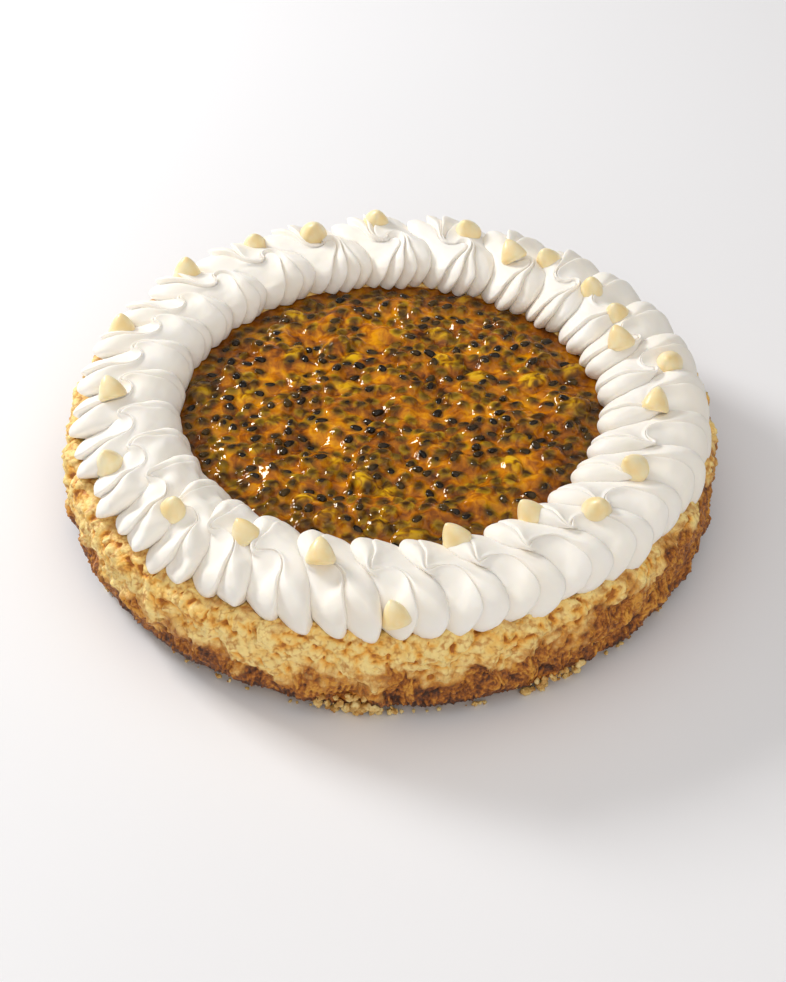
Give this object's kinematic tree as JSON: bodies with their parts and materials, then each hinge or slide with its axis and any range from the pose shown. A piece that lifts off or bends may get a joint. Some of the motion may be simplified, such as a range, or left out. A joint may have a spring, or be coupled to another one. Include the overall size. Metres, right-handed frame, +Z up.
{
  "type": "cheesecake",
  "caption": "Whole round baked cheesecake on a thin biscuit base, with a passion fruit top inside a ring of piped cream shells dotted with white chocolate drops.",
  "frame": {"origin": "centre of the flat underside of the biscuit base, on the surface that the cake rests on", "axes": "+Z up through the middle of the cake; -Y towards the side that the picture shows at the front; +X to the right of that view"},
  "size_m": [0.2524, 0.2538, 0.0602],
  "materials": {
    "biscuit": "coarse matt crumb",
    "baked_cheese": "soft matt crumb with browned patches",
    "passion_fruit": "wet glossy pulp with dark seeds",
    "cream": "smooth satin whipped cream",
    "white_chocolate": "smooth satin"
  },
  "bodies": {
    "root": {"biscuit_base": "biscuit", "cheesecake": "baked_cheese", "passion_fruit_top": "passion_fruit", "cream_shell_01": "cream", "cream_shell_02": "cream", "cream_shell_03": "cream", "cream_shell_04": "cream", "cream_shell_05": "cream", "cream_shell_06": "cream", "cream_shell_07": "cream", "cream_shell_08": "cream", "cream_shell_09": "cream", "cream_shell_10": "cream", "cream_shell_11": "cream", "cream_shell_12": "cream", "cream_shell_13": "cream", "cream_shell_14": "cream", "cream_shell_15": "cream", "cream_shell_16": "cream", "cream_shell_17": "cream", "cream_shell_18": "cream", "cream_shell_19": "cream", "cream_shell_20": "cream", "cream_shell_21": "cream", "cream_shell_22": "cream", "cream_shell_23": "cream", "cream_shell_24": "cream", "cream_shell_25": "cream", "cream_shell_26": "cream", "cream_shell_27": "cream", "cream_shell_28": "cream", "cream_shell_29": "cream", "cream_shell_30": "cream", "white_chocolate_01": "white_chocolate", "white_chocolate_02": "white_chocolate", "white_chocolate_03": "white_chocolate", "white_chocolate_04": "white_chocolate", "white_chocolate_05": "white_chocolate", "white_chocolate_06": "white_chocolate", "white_chocolate_07": "white_chocolate", "white_chocolate_08": "white_chocolate", "white_chocolate_09": "white_chocolate", "white_chocolate_10": "white_chocolate", "white_chocolate_11": "white_chocolate", "white_chocolate_12": "white_chocolate", "white_chocolate_13": "white_chocolate", "white_chocolate_14": "white_chocolate", "white_chocolate_15": "white_chocolate", "white_chocolate_16": "white_chocolate", "white_chocolate_17": "white_chocolate", "white_chocolate_18": "white_chocolate", "white_chocolate_19": "white_chocolate", "white_chocolate_20": "white_chocolate", "white_chocolate_21": "white_chocolate", "white_chocolate_22": "white_chocolate", "white_chocolate_23": "white_chocolate"}
  },
  "joints": []
}
